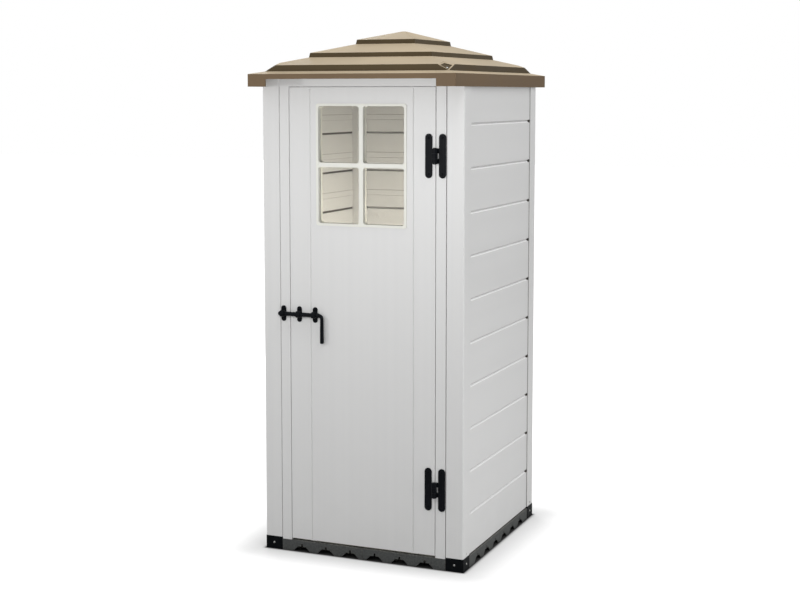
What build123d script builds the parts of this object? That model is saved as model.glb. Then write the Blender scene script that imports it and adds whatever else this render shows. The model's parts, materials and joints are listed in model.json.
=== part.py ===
"""Upright garden shed of plastic boards: stepped roof, glazed door on H hinges, sliding bolt.

Millimetres. +Z is up, the door faces -Y and hangs on the +X side.
The origin is on the ground, under the middle of the roof.
"""

import os

from build123d import *

# Walls and posts
wall_width = 820.0
wall_depth = 840.0
wall_top = 1830.0
post_size = 70.0
post_wall = 3.0
post_round = 5.0
board_count = 11
board_thickness = 20.0
board_wall = 2.0
board_inset = 4.0
board_bevel = 4.0
board_inner_gap = 5.0
tongue_width = 7.0
tongue_height = 6.0
score_width = 2.0
score_depth = 1.0
channel_depth = 12.0
channel_end_gap = 2.0
rail_wall = 3.0
rail_web = 4.0
rail_leg = 24.0

# Floor tiles and corner boots
base_height = 44.0
tile_gap = 1.0
tile_plate = 5.0
tile_skirt = 4.0
rib_thickness = 3.0
rib_bottom = 12.0
arch_pitch = 102.5
arches_per_tile = 3
arch_width = 72.0
arch_crown = 34.0
arch_height = 19.0
arch_round = 6.0
keyhole_width = 7.0
keyhole_height = 14.0
drain_hole = 40.0
drain_pitch = 68.0
drain_count = 4
boot_rise = 6.0
boot_proud = 1.0
boot_wall = 4.0
boot_round = 4.0
spigot_fit = 3.0
spigot_height = 40.0
post_screw_rise = 13.0
spigot_bevel = 3.0

# Door frame and door
jamb_width = 41.0
jamb_gap = 1.5
frame_depth = 40.0
frame_wall = 3.0
frame_round = 2.0
stop_lip = 12.0
stop_gap = 1.0
door_gap = 2.0
door_sweep_gap = 1.5
door_floor_gap = 8.0
door_thickness = 30.0
door_wall = 2.0
door_round = 2.0
stile_width = 87.0
stile_cells = 2
centre_cells = 6
joint_bevel = 3.0
strip_width = 24.0
strip_thickness = 4.4
strip_tab = 6.0
cap_thickness = 3.0

# Window
window_side_margin = 35.5
window_height = 440.0
window_top_margin = 72.0
window_border = 9.0
window_proud = 4.0
window_sleeve = 4.0
window_border_round = 9.0
bar_width = 16.0
pane_round = 10.0
glass_thickness = 4.0

# H hinges
lower_hinge_rise = 252.0
upper_hinge_drop = 250.0
leaf_length = 162.0
leaf_width = 28.0
leaf_offset = 27.0
leaf_thickness = 3.0
leaf_screw_inset = 15.0
knuckle_length = 56.0
knuckle_share = 18.0
knuckle_radius = 10.5
knuckle_stand_off = 1.0
pin_radius = 4.0
pin_head_radius = 6.0
pin_head_height = 2.0

# Bolt
bolt_height = 932.0
rod_radius = 8.0
rod_tip_bevel = 3.0
rod_stand_off = 13.0
rod_end_gap = 0.3
keeper_setback = 26.5
outer_guide_setback = 38.5
guide_pitch = 66.5
guide_length = 60.0
guide_width = 20.0
guide_plate = 3.0
guide_strap = 4.0
guide_barrel_width = 16.0
guide_screw_inset = 8.0
bolt_reach = 17.0
bolt_tail = 14.0
spindle_radius = 4.0
handle_radius = 6.5
handle_tip_radius = 4.6
handle_bend = 13.0
handle_drop = 107.0
handle_collar = 6.0
collar_radius = 8.5
handle_tip_bevel = 2.0

# Screws
screw_head_radius = 4.2
screw_head_height = 2.2
screw_head_bevel = 1.1
screw_flats = 6
screw_shank_radius = 2.0
screw_shank_length = 11.0

# Roof: each step is set in from the edge below it, above a slope, and ends in a riser
roof_skin = 3.5
side_overhang = 4.5
end_overhang = 108.0
roof_seat_rise = 12.0
fascia_height = 47.0
fascia_notch = 28.0
step_one_side_inset = 49.0
step_one_end_inset = 56.0
step_one_slope = 10.0
step_one_riser = 23.0
step_two_side_inset = 117.5
step_two_end_inset = 133.0
step_two_slope = 31.0
step_two_riser = 17.0
step_three_side_inset = 128.0
step_three_end_inset = 149.0
step_three_slope = 36.0
step_three_riser = 17.0
step_draft = 3.0
apex_width = 12.0
apex_depth = 18.0
apex_slope = 36.5
hip_seam = 0.5
seat_rib_thickness = 4.0
seat_rib_reach = 60.0
seat_rib_offset = 150.0
hip_cut_side = 42.0
hip_cut_end = 65.0
hip_clip_thickness = 3.0
hip_clip_recess = 2.0

# Clearances
slide_fit = 0.3
running_fit = 0.05
panel_fit = 0.2
screw_fit = 0.1
overcut = 1.0

# Places worked out from the sizes above
half_width = wall_width / 2
half_depth = wall_depth / 2
front_y = -half_depth
post_inner_x = half_width - post_size
post_inner_y = half_depth - post_size
channel_width = board_thickness + 2 * slide_fit
fascia_top = wall_top + roof_seat_rise
fascia_bottom = fascia_top - fascia_height
door_top = fascia_bottom - door_sweep_gap
header_bottom = door_top + door_gap
boot_height = base_height + boot_rise
spigot_size = post_size - 2 * (channel_depth + post_wall + spigot_fit)
board_pitch = (wall_top - rail_web - tongue_height - base_height) / board_count
jamb_outer_x = post_inner_x - jamb_gap
jamb_inner_x = post_inner_x - jamb_width
lip_inner_x = jamb_inner_x - stop_lip
frame_back_y = front_y + frame_depth
door_back_y = front_y + door_thickness
door_edge_x = jamb_inner_x - door_gap
door_joint_x = door_edge_x - stile_width
door_bottom = base_height + door_floor_gap
panel_bottom = door_bottom + cap_thickness
panel_top = door_top - cap_thickness
window_width = 2 * (door_joint_x - window_side_margin)
window_z = header_bottom - window_top_margin - window_height / 2
glass_front_y = front_y + (door_thickness - glass_thickness) / 2
glass_back_y = glass_front_y + glass_thickness
hinge_heights = (door_bottom + lower_hinge_rise, door_top - upper_hinge_drop)
hinge_x = jamb_inner_x - door_gap / 2
hinge_y = front_y - knuckle_radius - knuckle_stand_off
rod_y = front_y - rod_stand_off
keeper_x = -(jamb_inner_x + keeper_setback)
outer_guide_x = -(door_edge_x - outer_guide_setback)
inner_guide_x = outer_guide_x + guide_pitch
rod_tip_x = keeper_x - bolt_reach
rod_end_x = inner_guide_x + bolt_tail
spindle_length = bolt_tail - guide_width / 2
guide_screw_offset = guide_length / 2 - guide_screw_inset
eave_width = wall_width + 2 * side_overhang
eave_depth = wall_depth + 2 * end_overhang


def block(x_range, y_range, z_range):
    """A box between the given limits."""
    corner = Pos(min(x_range), min(y_range), min(z_range))
    sides = [abs(high - low) for low, high in (x_range, y_range, z_range)]
    return corner * Box(*sides, align=(Align.MIN, Align.MIN, Align.MIN))


def plan_rectangle(x_range, y_range):
    """A flat rectangle in plan between the given limits."""
    centre = Pos(sum(x_range) / 2, sum(y_range) / 2)
    return centre * Rectangle(abs(x_range[1] - x_range[0]), abs(y_range[1] - y_range[0]))


def upright(sketch, bottom, top):
    """A plan section pulled straight up between two heights."""
    return Pos(0, 0, bottom) * extrude(sketch, amount=top - bottom, dir=(0, 0, 1))


def from_front(sketch, x, z, near_y, far_y):
    """A section drawn as seen from the front, pulled from near_y back to far_y."""
    face_on = Plane((x, near_y, z), x_dir=(1, 0, 0), z_dir=(0, -1, 0))
    return extrude(face_on * sketch, amount=far_y - near_y, dir=(0, 1, 0))


def along_x(sketch, x_low, x_high):
    """A section drawn in Y and Z, pulled along X."""
    side_on = Plane((x_low, 0, 0), x_dir=(0, 1, 0), z_dir=(1, 0, 0))
    return extrude(side_on * sketch, amount=x_high - x_low, dir=(1, 0, 0))


def save(name, *pieces):
    """Write the pieces of one node."""
    solids = [solid for piece in pieces for solid in piece.solids()]
    shape = solids[0] if len(solids) == 1 else Compound(children=solids)
    export_step(shape, f"parts/{name}.step")


def corner_place(side_x, side_y):
    """The middle of a corner post in plan."""
    return Pos(side_x * (half_width - post_size / 2), side_y * (half_depth - post_size / 2))


# Corner names with their side in X and Y
corners = {
    "front_left": (-1, -1),
    "front_right": (1, -1),
    "back_left": (-1, 1),
    "back_right": (1, 1),
}


def screw(place, direction, clearance=0.0):
    """A round-headed screw whose head sits on place and whose shank runs along direction."""
    axis = Plane(place, z_dir=direction)
    shank = extrude(RegularPolygon(screw_shank_radius + clearance, screw_flats), amount=screw_shank_length)
    if clearance:
        return axis * shank
    head = extrude(RegularPolygon(screw_head_radius, screw_flats), amount=-screw_head_height)
    head = chamfer(head.faces().sort_by(Axis.Z)[0].edges(), screw_head_bevel)
    return axis * (head + shank)


def drill(piece, places, direction):
    """The piece with clearance holes for screws."""
    for place in places:
        piece = piece - screw(place, direction, screw_fit)
    return piece


def screws(places, direction):
    """One screw for each place."""
    return [screw(place, direction) for place in places]


def arch_section():
    """An arched cut-out in a tile's skirt with the keyhole slot above it, standing on the ground."""
    foot = arch_width / 2
    crown = arch_crown / 2
    outline = Polygon(
        (-foot, -arch_height),
        (foot, -arch_height),
        (foot, 0),
        (crown + arch_round, arch_height - arch_round),
        (crown, arch_height),
        (-crown, arch_height),
        (-crown - arch_round, arch_height - arch_round),
        (-foot, 0),
        align=None,
    )
    slot_z = arch_height + (keyhole_height - keyhole_width) / 2
    return outline + Pos(0, slot_z) * Rectangle(keyhole_width, keyhole_height)


def floor_tile(side_x, side_y):
    """One quarter of the floor: a perforated plate on a scalloped skirt with ribs."""
    outer_x = side_x * half_width
    outer_y = side_y * half_depth
    inner_x = side_x * tile_gap / 2
    inner_y = side_y * tile_gap / 2
    boot_span = post_size + slide_fit
    boot_corner = plan_rectangle(
        (outer_x - side_x * boot_span, outer_x + side_x * overcut),
        (outer_y - side_y * boot_span, outer_y + side_y * overcut),
    )
    outline = plan_rectangle((inner_x, outer_x), (inner_y, outer_y)) - boot_corner
    inside = offset(outline, amount=-tile_skirt, kind=Kind.INTERSECTION)
    middle = Pos((inner_x + outer_x) / 2, (inner_y + outer_y) / 2)
    grid = GridLocations(drain_pitch, drain_pitch, drain_count, drain_count)
    drains = middle * grid * Rectangle(drain_hole, drain_hole)
    ribs = Sketch()
    for number in range(1, drain_count):
        along = (number - drain_count / 2) * drain_pitch
        ribs += middle * Pos(along, 0) * Rectangle(rib_thickness, wall_depth)
        ribs += middle * Pos(0, along) * Rectangle(wall_width, rib_thickness)
    plate_bottom = base_height - tile_plate
    tile = upright(outline - drains, plate_bottom, base_height)
    tile += upright(outline - inside, 0, plate_bottom)
    tile += upright(ribs & inside, rib_bottom, plate_bottom)
    for number in range(arches_per_tile):
        along = (number + 0.5) * arch_pitch
        front_cut = (outer_y - tile_skirt, outer_y + tile_skirt)
        side_cut = (outer_x - tile_skirt, outer_x + tile_skirt)
        tile -= from_front(arch_section(), side_x * along, 0, *front_cut)
        tile -= along_x(Pos(side_y * along, 0) * arch_section(), *side_cut)
    return tile


def boot_screw_places(side_x, side_y):
    """Where a boot's two screws sit: the middle of each outer face, with the inward direction."""
    middle = corner_place(side_x, side_y).position
    reach = post_size / 2 + boot_proud
    height = boot_height / 2
    on_side = (middle.X + side_x * reach, middle.Y, height)
    on_front = (middle.X, middle.Y + side_y * reach, height)
    return ((on_side, (-side_x, 0, 0)), (on_front, (0, -side_y, 0)))


def board_channels(side_x, side_y):
    """Places and turns, about a post's middle, of the channels that its walls of boards end in."""
    reach = post_size / 2
    wall_line = reach - board_inset - board_thickness / 2
    channels = [(Pos(side_x * wall_line, -side_y * reach), 0)]
    if side_y > 0:
        channels.append((Pos(-side_x * reach, side_y * wall_line), 90))
    return channels


def corner_boot(side_x, side_y):
    """A hollow foot, proud of its post outside, with a spigot that plugs into the post."""
    outer = post_size + boot_proud
    inner = outer - 2 * boot_wall
    outwards = Pos(side_x * boot_proud / 2, side_y * boot_proud / 2)
    boot = outwards * upright(RectangleRounded(outer, outer, boot_round), 0, boot_height)
    boot -= outwards * upright(Rectangle(inner, inner), -overcut, boot_height - boot_wall)
    spigot = upright(Rectangle(spigot_size, spigot_size), boot_height, boot_height + spigot_height)
    boot += chamfer(spigot.faces().sort_by(Axis.Z)[-1].edges(), spigot_bevel)
    for place, turn in board_channels(side_x, side_y):
        slot = place * Rectangle(channel_width, 2 * channel_depth, rotation=turn)
        boot -= upright(slot, base_height - slide_fit, boot_height + overcut)
    boot = corner_place(side_x, side_y) * boot
    for place, direction in boot_screw_places(side_x, side_y):
        boot = drill(boot, [place], direction)
    return boot


def post_screw_place(side_x, side_y):
    """The screw that holds a post on its boot, low on the post's side face."""
    return (side_x * half_width, side_y * (half_depth - post_size / 2), boot_height + post_screw_rise)


def corner_post(side_x, side_y):
    """A hollow post with a channel for each wall of boards that ends in it."""
    section = RectangleRounded(post_size, post_size, post_round)
    section -= Rectangle(post_size - 2 * post_wall, post_size - 2 * post_wall)
    channels = board_channels(side_x, side_y)
    for place, turn in channels:
        sleeve = Rectangle(channel_width + 2 * post_wall, 2 * (channel_depth + post_wall), rotation=turn)
        section += (place * sleeve) & Rectangle(post_size, post_size)
    for place, turn in channels:
        section -= place * Rectangle(channel_width, 2 * channel_depth, rotation=turn)
    post = corner_place(side_x, side_y) * upright(section, boot_height, wall_top)
    return drill(post, [post_screw_place(side_x, side_y)], (-side_x, 0, 0))


def board_section():
    """A hollow tongue-and-groove board: X is its thickness, inner face at 0, and Y its height."""
    middle = board_thickness / 2
    tongue = tongue_width / 2
    groove = tongue + slide_fit
    groove_top = tongue_height + slide_fit
    score_low = (board_pitch - score_width) / 2
    score_high = (board_pitch + score_width) / 2
    outline = Polygon(
        (0, board_inner_gap),
        (middle - groove, board_inner_gap),
        (middle - groove, groove_top),
        (middle + groove, groove_top),
        (middle + groove, 0),
        (board_thickness - board_bevel, 0),
        (board_thickness, board_bevel),
        (board_thickness, board_pitch - board_bevel),
        (board_thickness - board_bevel, board_pitch),
        (middle + tongue, board_pitch),
        (middle + tongue, board_pitch + tongue_height),
        (middle - tongue, board_pitch + tongue_height),
        (middle - tongue, board_pitch),
        (0, board_pitch),
        (0, score_high),
        (score_depth, score_high),
        (score_depth, score_low),
        (0, score_low),
        align=None,
    )
    cell_x = (board_wall + score_depth, board_thickness - board_wall)
    web = board_wall / 2
    lower_cell = plan_rectangle(cell_x, (groove_top + board_wall, board_pitch / 2 - web))
    upper_cell = plan_rectangle(cell_x, (board_pitch / 2 + web, board_pitch - board_bevel - board_wall))
    return outline - lower_cell - upper_cell


def rail_section():
    """The channel that caps a wall of boards, in the board's own X, at its real height."""
    middle = board_thickness / 2
    inside = board_thickness + 2 * slide_fit
    web_bottom = wall_top - rail_web
    outer = Pos(middle, wall_top - (rail_web + rail_leg) / 2)
    outline = outer * Rectangle(inside + 2 * rail_wall, rail_web + rail_leg)
    return outline - Pos(middle, web_bottom - rail_leg) * Rectangle(inside, 2 * rail_leg)


board_face = board_inset + board_thickness
board_reach = channel_depth - channel_end_gap
board_levels = [base_height + number * board_pitch for number in range(board_count)]


def side_wall_boards():
    """The right-hand wall's boards, from post to post."""
    reach = post_inner_y + board_reach
    section = board_section()
    return [from_front(section, half_width - board_face, level, -reach, reach) for level in board_levels]


def back_wall_boards():
    """The back wall's boards, from post to post."""
    reach = post_inner_x + board_reach
    section = board_section()
    return [along_x(Pos(half_depth - board_face, level) * section, -reach, reach) for level in board_levels]


def side_rail():
    """The right-hand wall's cap rail."""
    reach = post_inner_y - slide_fit
    return from_front(rail_section(), half_width - board_face, 0, -reach, reach)


def back_rail():
    """The back wall's cap rail."""
    reach = post_inner_x - slide_fit
    return along_x(Pos(half_depth - board_face, 0) * rail_section(), -reach, reach)


def leaf_screw_places(side, height):
    """Screw places on a hinge leaf: side 1 is the frame's leaf, -1 the door's."""
    x = hinge_x + side * leaf_offset
    reach = leaf_length / 2 - leaf_screw_inset
    return [(x, front_y - leaf_thickness, height + offset_z) for offset_z in (-reach, reach)]


def all_leaf_screw_places(side):
    """The screw places of one body's leaves on both hinges."""
    return [place for height in hinge_heights for place in leaf_screw_places(side, height)]


def guide_screw_places(x):
    """Screw places of a bolt guide or keeper."""
    y = front_y - guide_plate
    return [(x, y, bolt_height + offset_z) for offset_z in (-guide_screw_offset, guide_screw_offset)]


into_front = (0, 1, 0)


def jamb():
    """The hinge-side jamb: a hollow upright with the lip that the door closes on."""
    main = plan_rectangle((jamb_inner_x, jamb_outer_x), (front_y, frame_back_y))
    main = fillet(main.vertices().group_by(Axis.Y)[0], frame_round)
    lip = plan_rectangle((lip_inner_x, jamb_inner_x + overcut), (door_back_y + stop_gap, frame_back_y))
    cell = plan_rectangle(
        (jamb_inner_x + frame_wall, jamb_outer_x - frame_wall),
        (front_y + frame_wall, frame_back_y - frame_wall),
    )
    return upright(main + lip - cell, base_height, header_bottom)


def door_header():
    """The hollow beam over the door, with its stop lip between the jambs' lips."""
    main = plan_rectangle((front_y, frame_back_y), (header_bottom, wall_top))
    cell = offset(main, amount=-frame_wall, kind=Kind.INTERSECTION)
    lip = plan_rectangle(
        (door_back_y + stop_gap, frame_back_y),
        (header_bottom - stop_lip, header_bottom + overcut),
    )
    lip_reach = lip_inner_x - slide_fit
    return along_x(main - cell, -post_inner_x, post_inner_x) + along_x(lip, -lip_reach, lip_reach)


strip_y = (front_y + door_back_y) / 2


def strip_section(joint_x, clearance):
    """The flat strip that joins two door panels, in plan."""
    width = strip_width + 2 * clearance
    return Pos(joint_x, strip_y) * Rectangle(width, strip_thickness + 2 * clearance)


def door_section(x_range, joints, cell_count):
    """A hollow door panel in plan, grooved along the joints that it shares with its neighbours."""
    section = plan_rectangle(x_range, (front_y, door_back_y))
    free_edges = [x for x in x_range if all(abs(x - joint_x) > stile_width / 2 for joint_x in joints)]
    for edge_x in free_edges:
        corners_there = [v for v in section.vertices() if abs(v.X - edge_x) < panel_fit]
        section = fillet(corners_there, door_round)
    for joint_x in joints:
        section -= strip_section(joint_x, panel_fit)
        for face_y, inward in ((front_y, 1), (door_back_y, -1)):
            section -= Polygon(
                (joint_x - joint_bevel, face_y),
                (joint_x + joint_bevel, face_y),
                (joint_x, face_y + inward * joint_bevel),
                align=None,
            )
    margins = [door_wall if x in free_edges else strip_width / 2 + door_wall for x in x_range]
    low = x_range[0] + margins[0]
    cell_width = (x_range[1] - margins[1] - low - (cell_count - 1) * door_wall) / cell_count
    cell_y = (front_y + door_wall, door_back_y - door_wall)
    for number in range(cell_count):
        start = low + number * (cell_width + door_wall)
        section -= plan_rectangle((start, start + cell_width), cell_y)
    return section


def door_stile(side):
    """The door's edge panel: side 1 carries the hinges, -1 the bolt."""
    x_range = sorted((side * (door_joint_x + panel_fit / 2), side * door_edge_x))
    return upright(door_section(x_range, [side * door_joint_x], stile_cells), panel_bottom, panel_top)


def door_centre_panel():
    """The door's middle panel with the window's opening."""
    reach = door_joint_x - panel_fit / 2
    section = door_section((-reach, reach), [-door_joint_x, door_joint_x], centre_cells)
    hole_x = window_width / 2 + window_sleeve + slide_fit
    hole_z = window_height / 2 + window_sleeve + slide_fit
    hole = block(
        (-hole_x, hole_x),
        (front_y - overcut, door_back_y + overcut),
        (window_z - hole_z, window_z + hole_z),
    )
    return upright(section, panel_bottom, panel_top) - hole


def door_cap(bottom, top):
    """A plate that closes the ends of the door's panels."""
    outline = plan_rectangle((-door_edge_x, door_edge_x), (front_y, door_back_y))
    return upright(fillet(outline.vertices(), door_round), bottom, top)


def door_bottom_cap():
    """The lower cap, notched where the joint strips come through."""
    cap = door_cap(door_bottom, panel_bottom)
    for joint_x in (-door_joint_x, door_joint_x):
        cap -= upright(strip_section(joint_x, panel_fit), door_bottom - overcut, panel_bottom + overcut)
    return cap


def window_frame(glass_y, face_y, outward):
    """One half of the window frame: glazing bars in a sleeve, and a border on the door's face."""
    pane_width = (window_width - bar_width) / 2
    pane_height = (window_height - bar_width) / 2
    grid = GridLocations(pane_width + bar_width, pane_height + bar_width, 2, 2)
    panes = grid * RectangleRounded(pane_width, pane_height, pane_round)
    sleeve = Rectangle(window_width + 2 * window_sleeve, window_height + 2 * window_sleeve)
    border_width = window_width + 2 * window_border
    border_height = window_height + 2 * window_border
    border = RectangleRounded(border_width, border_height, window_border_round)
    border -= RectangleRounded(window_width, window_height, pane_round)
    bars_y = sorted((glass_y, face_y + outward * window_proud / 2))
    border_y = sorted((face_y, face_y + outward * window_proud))
    return from_front(sleeve - panes, 0, window_z, *bars_y) + from_front(border, 0, window_z, *border_y)


def window_pane():
    """The glazing, held between the two frames."""
    half_x = window_width / 2 + window_sleeve
    half_z = window_height / 2 + window_sleeve
    return block((-half_x, half_x), (glass_front_y, glass_back_y), (window_z - half_z, window_z + half_z))


def hinge_leaf(side, height):
    """One leaf of an H hinge with its knuckles: side 1 on the frame, -1 on the door."""
    leaf_y = (front_y - leaf_thickness, front_y)
    bar_x = hinge_x + side * leaf_offset
    leaf = from_front(SlotOverall(leaf_length, leaf_width, rotation=90), bar_x, height, *leaf_y)
    outer_knuckle = (knuckle_length - knuckle_share) / 2
    middle_knuckle = knuckle_length - 2 * knuckle_share - 2 * slide_fit
    if side > 0:
        knuckles = [(height - outer_knuckle, knuckle_share), (height + outer_knuckle, knuckle_share)]
    else:
        knuckles = [(height, middle_knuckle)]
    for middle, length in knuckles:
        leaf += block((hinge_x, bar_x), leaf_y, (middle - length / 2, middle + length / 2))
        leaf += Pos(hinge_x, hinge_y, middle) * Cylinder(knuckle_radius, length)
    leaf -= Pos(hinge_x, hinge_y, height) * Cylinder(pin_radius + running_fit, 2 * knuckle_length)
    return drill(leaf, leaf_screw_places(side, height), into_front)


def hinge_pin(height):
    """A hinge pin with a head at each end."""
    pin = Cylinder(pin_radius, knuckle_length + 2 * slide_fit)
    for end in (-1, 1):
        head_z = end * (knuckle_length / 2 + slide_fit + pin_head_height / 2)
        pin += Pos(0, 0, head_z) * Cylinder(pin_head_radius, pin_head_height)
    return Pos(hinge_x, hinge_y, height) * pin


def bolt_guide(x):
    """A strap that holds the rod: a round-ended plate with a barrel on it."""
    plate_y = (front_y - guide_plate, front_y)
    guide = from_front(SlotOverall(guide_length, guide_width, rotation=90), x, bolt_height, *plate_y)
    barrel_radius = rod_radius + slide_fit + guide_strap
    barrel = Pos(rod_y, bolt_height) * Circle(barrel_radius)
    barrel += plan_rectangle((rod_y, front_y), (bolt_height - barrel_radius, bolt_height + barrel_radius))
    guide += along_x(barrel, x - guide_barrel_width / 2, x + guide_barrel_width / 2)
    bore = Pos(rod_y, bolt_height) * Circle(rod_radius + slide_fit)
    guide -= along_x(bore, x - guide_width, x + guide_width)
    return drill(guide, guide_screw_places(x), into_front)


def bolt_rod():
    """The sliding rod, round at its tip and bored at its tail for the handle's spindle."""
    rod = along_x(Pos(rod_y, bolt_height) * Circle(rod_radius), rod_tip_x, rod_end_x)
    rod = chamfer(rod.edges().filter_by(GeomType.CIRCLE).sort_by(Axis.X)[0], rod_tip_bevel)
    bore = Pos(rod_y, bolt_height) * Circle(spindle_radius + running_fit)
    return rod - along_x(bore, rod_end_x - spindle_length, rod_end_x + overcut)


def bolt_handle():
    """The drop handle: spindle, collar, a quarter bend and a tapered grip with a round tip."""
    axis_point = Pos(rod_y, bolt_height)
    collar_start = rod_end_x + rod_end_gap
    collar_end = collar_start + handle_collar
    spindle_start = rod_end_x - spindle_length + slide_fit
    handle = along_x(axis_point * Circle(spindle_radius), spindle_start, collar_start)
    handle += along_x(axis_point * Circle(collar_radius), collar_start, collar_end)
    bend_start = Plane((collar_end, rod_y, bolt_height), x_dir=(0, 1, 0), z_dir=(1, 0, 0))
    bend_axis = Axis((collar_end, rod_y, bolt_height - handle_bend), (0, 1, 0))
    handle += revolve(bend_start * Circle(handle_radius), axis=bend_axis, revolution_arc=90)
    grip_length = handle_drop - handle_bend
    grip = Cone(handle_tip_radius, handle_radius, grip_length)
    grip = chamfer(grip.edges().filter_by(GeomType.CIRCLE).sort_by(Axis.Z)[0], handle_tip_bevel)
    grip_z = bolt_height - handle_bend - grip_length / 2
    return handle + Pos(collar_end + handle_bend, rod_y, grip_z) * grip


def roof_steps():
    """Each step's width and depth at its top edge, and the heights of its foot and top edge."""
    insets = (
        (step_one_side_inset, step_one_end_inset, step_one_slope, step_one_riser),
        (step_two_side_inset, step_two_end_inset, step_two_slope, step_two_riser),
        (step_three_side_inset, step_three_end_inset, step_three_slope, step_three_riser),
    )
    steps = []
    width, depth, top = eave_width, eave_depth, fascia_top
    for side_inset, end_inset, slope, riser in insets:
        width -= 2 * side_inset
        depth -= 2 * end_inset
        foot = top + slope
        top = foot + riser
        steps.append((width, depth, foot, top))
    return steps


apex_height = roof_steps()[-1][3] + apex_slope


def roof_levels(skin):
    """Width, depth and height of each edge of the roof, from the eave to the apex, skin deep inside it."""
    levels = [(eave_width, eave_depth, fascia_bottom), (eave_width, eave_depth, fascia_top)]
    for width, depth, foot, top in roof_steps():
        levels.append((width + 2 * step_draft, depth + 2 * step_draft, foot))
        levels.append((width, depth, top))
    levels.append((apex_width, apex_depth, apex_height))
    return [(width - 2 * skin, depth - 2 * skin, height - skin) for width, depth, height in levels]


def frustum(low, high):
    """A flat-sided block between two levels, each a width, depth and height."""
    width, depth, bottom = low
    top_width, top_depth, top = high
    side = (width - top_width) / 2
    end = (depth - top_depth) / 2
    lying = Wedge(width, top - bottom, depth, side, end, width - side, depth - end)
    return Pos(0, 0, (bottom + top) / 2) * Rotation(90, 0, 0) * lying


def stepped_solid(levels):
    """A solid that tapers from each level to the next."""
    return Part() + [frustum(low, high) for low, high in zip(levels, levels[1:])]


def roof_wedge(side_y, shift):
    """The upright wedge of space that holds the front or back roof panel, bounded by the hips."""
    hips = [(0, 0)] + [(step[0] / 2, step[1] / 2) for step in reversed(roof_steps())]
    hips.append((eave_width / 2, eave_depth / 2))
    hips.append((eave_width / 2, eave_depth))
    outline = hips + [(-x, y) for x, y in reversed(hips[1:])]
    plan = Polygon(*[(x, side_y * y) for x, y in outline], align=None)
    return Pos(0, -side_y * shift) * upright(plan, fascia_bottom - overcut, apex_height + overcut)


def hip_plane(side_x, side_y):
    """The slanting plane that cuts a corner off the lowest step, and its rise and spread.

    It faces outwards and starts at the step's foot, and its own X runs up to the step's top edges.
    """
    width, depth, foot, top = roof_steps()[0]
    at_foot = Vector(side_x * (width / 2 + step_draft), side_y * (depth / 2 + step_draft), foot)
    on_end = Vector(side_x * (width / 2 - hip_cut_side), side_y * depth / 2, top)
    on_side = Vector(side_x * width / 2, side_y * (depth / 2 - hip_cut_end), top)
    up = (on_end + on_side) / 2 - at_foot
    outwards = up.cross(on_side - on_end) * side_x * side_y
    return Plane(at_foot, x_dir=up, z_dir=outwards), up.length, (on_side - on_end).length


def hip_opening(side_x, side_y):
    """The corner cut from the lowest step along the hip's slanting plane."""
    plane, rise, spread = hip_plane(side_x, side_y)
    return plane * Box(2 * rise, 2 * spread, rise, align=(Align.MIN, Align.CENTER, Align.MIN))


def hip_screw_place(side_x, side_y):
    """The screw in the middle of a hip clip, with its inward direction."""
    plane, rise, _ = hip_plane(side_x, side_y)
    place = plane * Pos(rise / 2, 0, -hip_clip_recess)
    return tuple(place.position), tuple(-plane.z_dir)


def hip_clip(side_x, side_y, inside):
    """The plate behind a hip opening that ties the two roof panels together."""
    plane, rise, spread = hip_plane(side_x, side_y)
    plate = Box(2 * rise, 2 * spread, hip_clip_thickness, align=(Align.MIN, Align.CENTER, Align.MAX))
    filling = (plane * Pos(0, 0, -hip_clip_recess) * plate) & inside
    clip = filling.solids().sort_by(SortBy.VOLUME)[-1]
    place, direction = hip_screw_place(side_x, side_y)
    return drill(clip, [place], direction)


def seat_rib(x_range, y_range, inside):
    """A rib under the roof that stands on the walls."""
    return inside & block(x_range, y_range, (wall_top, apex_height))


def roof_panels():
    """The front, back, left and right roof panels, and the space under the roof's skin."""
    inside = stepped_solid(roof_levels(roof_skin))
    skin = stepped_solid(roof_levels(0.0)) - inside
    for side_x, side_y in corners.values():
        skin -= hip_opening(side_x, side_y)
    panels = {"front": skin & roof_wedge(-1, 0), "back": skin & roof_wedge(1, 0)}
    sides = (skin - roof_wedge(-1, hip_seam) - roof_wedge(1, hip_seam)).solids().sort_by(Axis.X)
    panels["left"] = sides[0]
    panels["right"] = sides[-1]
    rib = seat_rib_thickness / 2
    for place in (-seat_rib_offset, seat_rib_offset):
        span = (place - rib, place + rib)
        panels["front"] += seat_rib(span, (front_y, front_y + seat_rib_reach), inside)
        panels["back"] += seat_rib(span, (half_depth - seat_rib_reach, half_depth), inside)
        panels["left"] += seat_rib((-half_width, seat_rib_reach - half_width), span, inside)
        panels["right"] += seat_rib((half_width - seat_rib_reach, half_width), span, inside)
    panels["front"] -= block(
        (-post_inner_x, post_inner_x),
        (-eave_depth, roof_skin - eave_depth / 2 + overcut),
        (fascia_bottom - overcut, fascia_bottom + fascia_notch),
    )
    return panels, inside


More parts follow.
